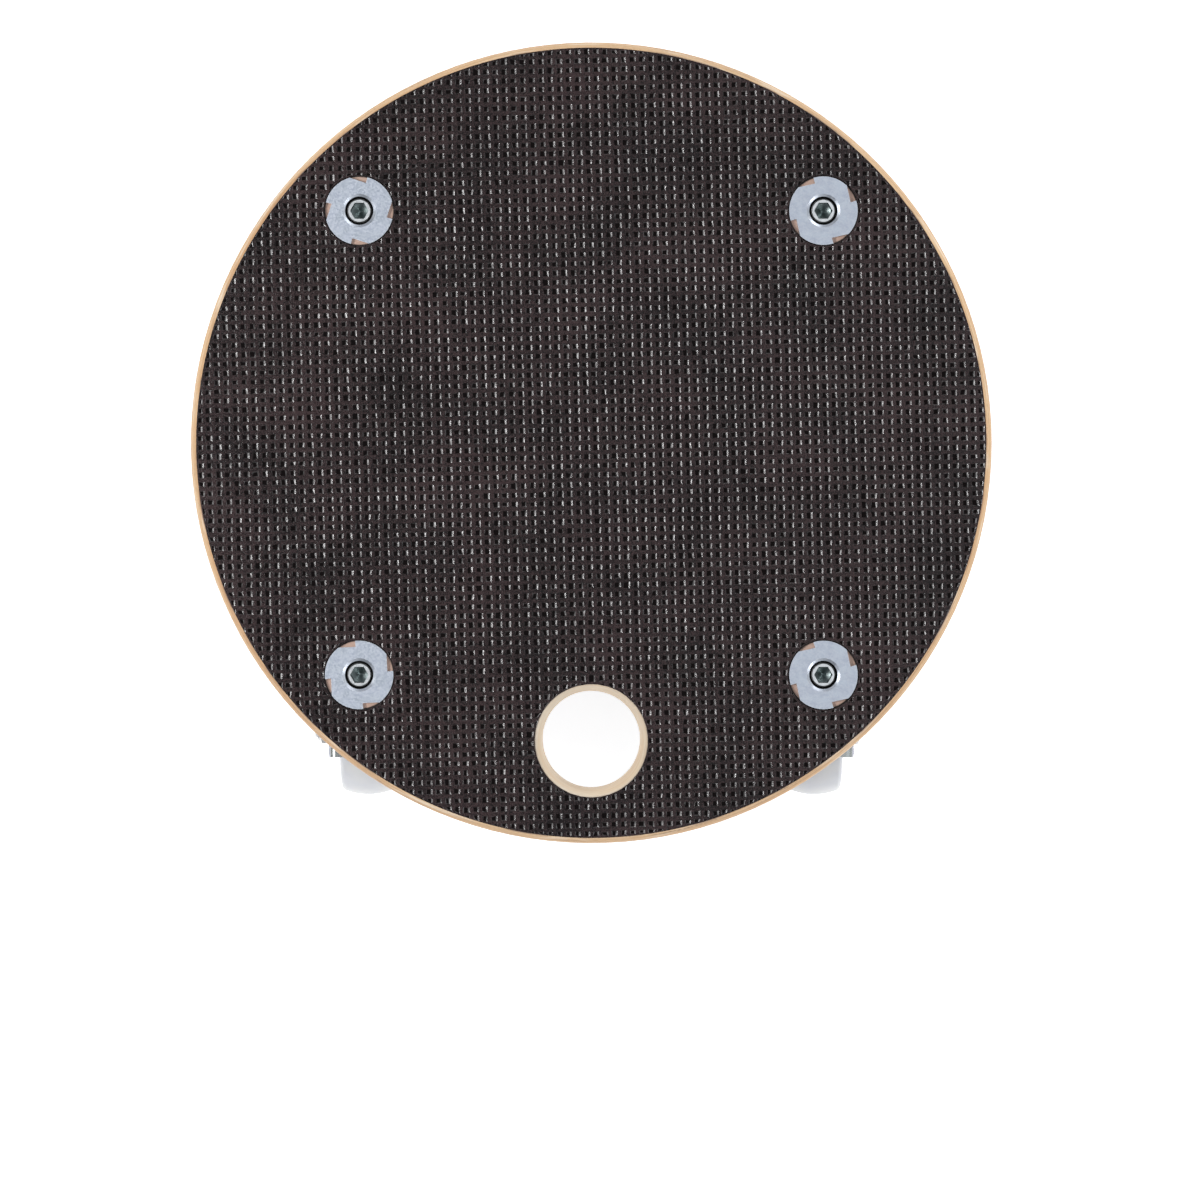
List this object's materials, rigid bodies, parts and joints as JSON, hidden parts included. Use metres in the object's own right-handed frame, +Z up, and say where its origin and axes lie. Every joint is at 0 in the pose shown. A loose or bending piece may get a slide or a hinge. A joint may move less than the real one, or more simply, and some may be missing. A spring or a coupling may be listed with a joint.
{
  "type": "furniture dolly",
  "caption": "Round plywood furniture dolly with dark mesh-pressed film faces, a hand hole near the edge, flush tee nuts, and swivel casters with white plastic wheels in zinc-plated forks.",
  "frame": {"origin": "on the floor under the middle of the round board", "axes": "+Z up; the hand hole is towards -Y (front), where the casters trail at rest; +X is to the right seen from above with the hand hole at the bottom"},
  "size_m": [0.2999, 0.3, 0.088],
  "materials": {
    "film": "phenolic film with a pressed wire-mesh pattern, dark brown",
    "plywood": "sanded plywood edge, clear sealed",
    "tee_nut_zinc": "bright zinc plate",
    "dome_zinc": "zinc plate, darker, spun",
    "fork_zinc": "bright zinc plate, mottled from tumbling",
    "bolt_zinc": "zinc plate, satin",
    "stem_steel": "turned steel",
    "ball_steel": "polished, greased",
    "nylon": "milky moulded polyamide"
  },
  "bodies": {
    "deck": {"deck_board": "plywood", "top_film": "film", "bottom_film": "film", "tee_nut_front_left": "tee_nut_zinc", "stem_front_left": "stem_steel", "swivel_dome_front_left": "dome_zinc", "lower_race_front_left": "stem_steel", "tee_nut_front_right": "tee_nut_zinc", "stem_front_right": "stem_steel", "swivel_dome_front_right": "dome_zinc", "lower_race_front_right": "stem_steel", "tee_nut_rear_left": "tee_nut_zinc", "stem_rear_left": "stem_steel", "swivel_dome_rear_left": "dome_zinc", "lower_race_rear_left": "stem_steel", "tee_nut_rear_right": "tee_nut_zinc", "stem_rear_right": "stem_steel", "swivel_dome_rear_right": "dome_zinc", "lower_race_rear_right": "stem_steel"},
    "fork_front_left": {"fork_front_left": "fork_zinc", "axle_bolt_front_left": "bolt_zinc", "axle_nut_front_left": "bolt_zinc", "axle_sleeve_front_left": "stem_steel"},
    "wheel_front_left": {"wheel_front_left": "nylon"},
    "balls_front_left": {"upper_balls_front_left": "ball_steel", "lower_balls_front_left": "ball_steel"},
    "fork_front_right": {"fork_front_right": "fork_zinc", "axle_bolt_front_right": "bolt_zinc", "axle_nut_front_right": "bolt_zinc", "axle_sleeve_front_right": "stem_steel"},
    "wheel_front_right": {"wheel_front_right": "nylon"},
    "balls_front_right": {"upper_balls_front_right": "ball_steel", "lower_balls_front_right": "ball_steel"},
    "fork_rear_left": {"fork_rear_left": "fork_zinc", "axle_bolt_rear_left": "bolt_zinc", "axle_nut_rear_left": "bolt_zinc", "axle_sleeve_rear_left": "stem_steel"},
    "wheel_rear_left": {"wheel_rear_left": "nylon"},
    "balls_rear_left": {"upper_balls_rear_left": "ball_steel", "lower_balls_rear_left": "ball_steel"},
    "fork_rear_right": {"fork_rear_right": "fork_zinc", "axle_bolt_rear_right": "bolt_zinc", "axle_nut_rear_right": "bolt_zinc", "axle_sleeve_rear_right": "stem_steel"},
    "wheel_rear_right": {"wheel_rear_right": "nylon"},
    "balls_rear_right": {"upper_balls_rear_right": "ball_steel", "lower_balls_rear_right": "ball_steel"}
  },
  "joints": [
    {"name": "swivel_front_left", "type": "hinge", "parent": "deck", "child": "fork_front_left", "pos_m": [-0.08648, -0.08648, 0.06], "axis": [0, 0, 1], "continuous": true},
    {"name": "roll_front_left", "type": "hinge", "parent": "fork_front_left", "child": "wheel_front_left", "pos_m": [-0.08648, -0.11148, 0.025], "axis": [1, 0, 0], "continuous": true},
    {"name": "ball_race_front_left", "type": "hinge", "parent": "deck", "child": "balls_front_left", "pos_m": [-0.08648, -0.08648, 0.06], "axis": [0, 0, 1], "continuous": true},
    {"name": "swivel_front_right", "type": "hinge", "parent": "deck", "child": "fork_front_right", "pos_m": [0.08648, -0.08648, 0.06], "axis": [0, 0, 1], "continuous": true},
    {"name": "roll_front_right", "type": "hinge", "parent": "fork_front_right", "child": "wheel_front_right", "pos_m": [0.08648, -0.11148, 0.025], "axis": [1, 0, 0], "continuous": true},
    {"name": "ball_race_front_right", "type": "hinge", "parent": "deck", "child": "balls_front_right", "pos_m": [0.08648, -0.08648, 0.06], "axis": [0, 0, 1], "continuous": true},
    {"name": "swivel_rear_left", "type": "hinge", "parent": "deck", "child": "fork_rear_left", "pos_m": [-0.08648, 0.08648, 0.06], "axis": [0, 0, 1], "continuous": true},
    {"name": "roll_rear_left", "type": "hinge", "parent": "fork_rear_left", "child": "wheel_rear_left", "pos_m": [-0.08648, 0.06148, 0.025], "axis": [1, 0, 0], "continuous": true},
    {"name": "ball_race_rear_left", "type": "hinge", "parent": "deck", "child": "balls_rear_left", "pos_m": [-0.08648, 0.08648, 0.06], "axis": [0, 0, 1], "continuous": true},
    {"name": "swivel_rear_right", "type": "hinge", "parent": "deck", "child": "fork_rear_right", "pos_m": [0.08648, 0.08648, 0.06], "axis": [0, 0, 1], "continuous": true},
    {"name": "roll_rear_right", "type": "hinge", "parent": "fork_rear_right", "child": "wheel_rear_right", "pos_m": [0.08648, 0.06148, 0.025], "axis": [1, 0, 0], "continuous": true},
    {"name": "ball_race_rear_right", "type": "hinge", "parent": "deck", "child": "balls_rear_right", "pos_m": [0.08648, 0.08648, 0.06], "axis": [0, 0, 1], "continuous": true}
  ],
  "couplings": [
    {"joint": "ball_race_front_left", "follows": "swivel_front_left", "ratio": 0.5},
    {"joint": "ball_race_front_right", "follows": "swivel_front_right", "ratio": 0.5},
    {"joint": "ball_race_rear_left", "follows": "swivel_rear_left", "ratio": 0.5},
    {"joint": "ball_race_rear_right", "follows": "swivel_rear_right", "ratio": 0.5}
  ]
}
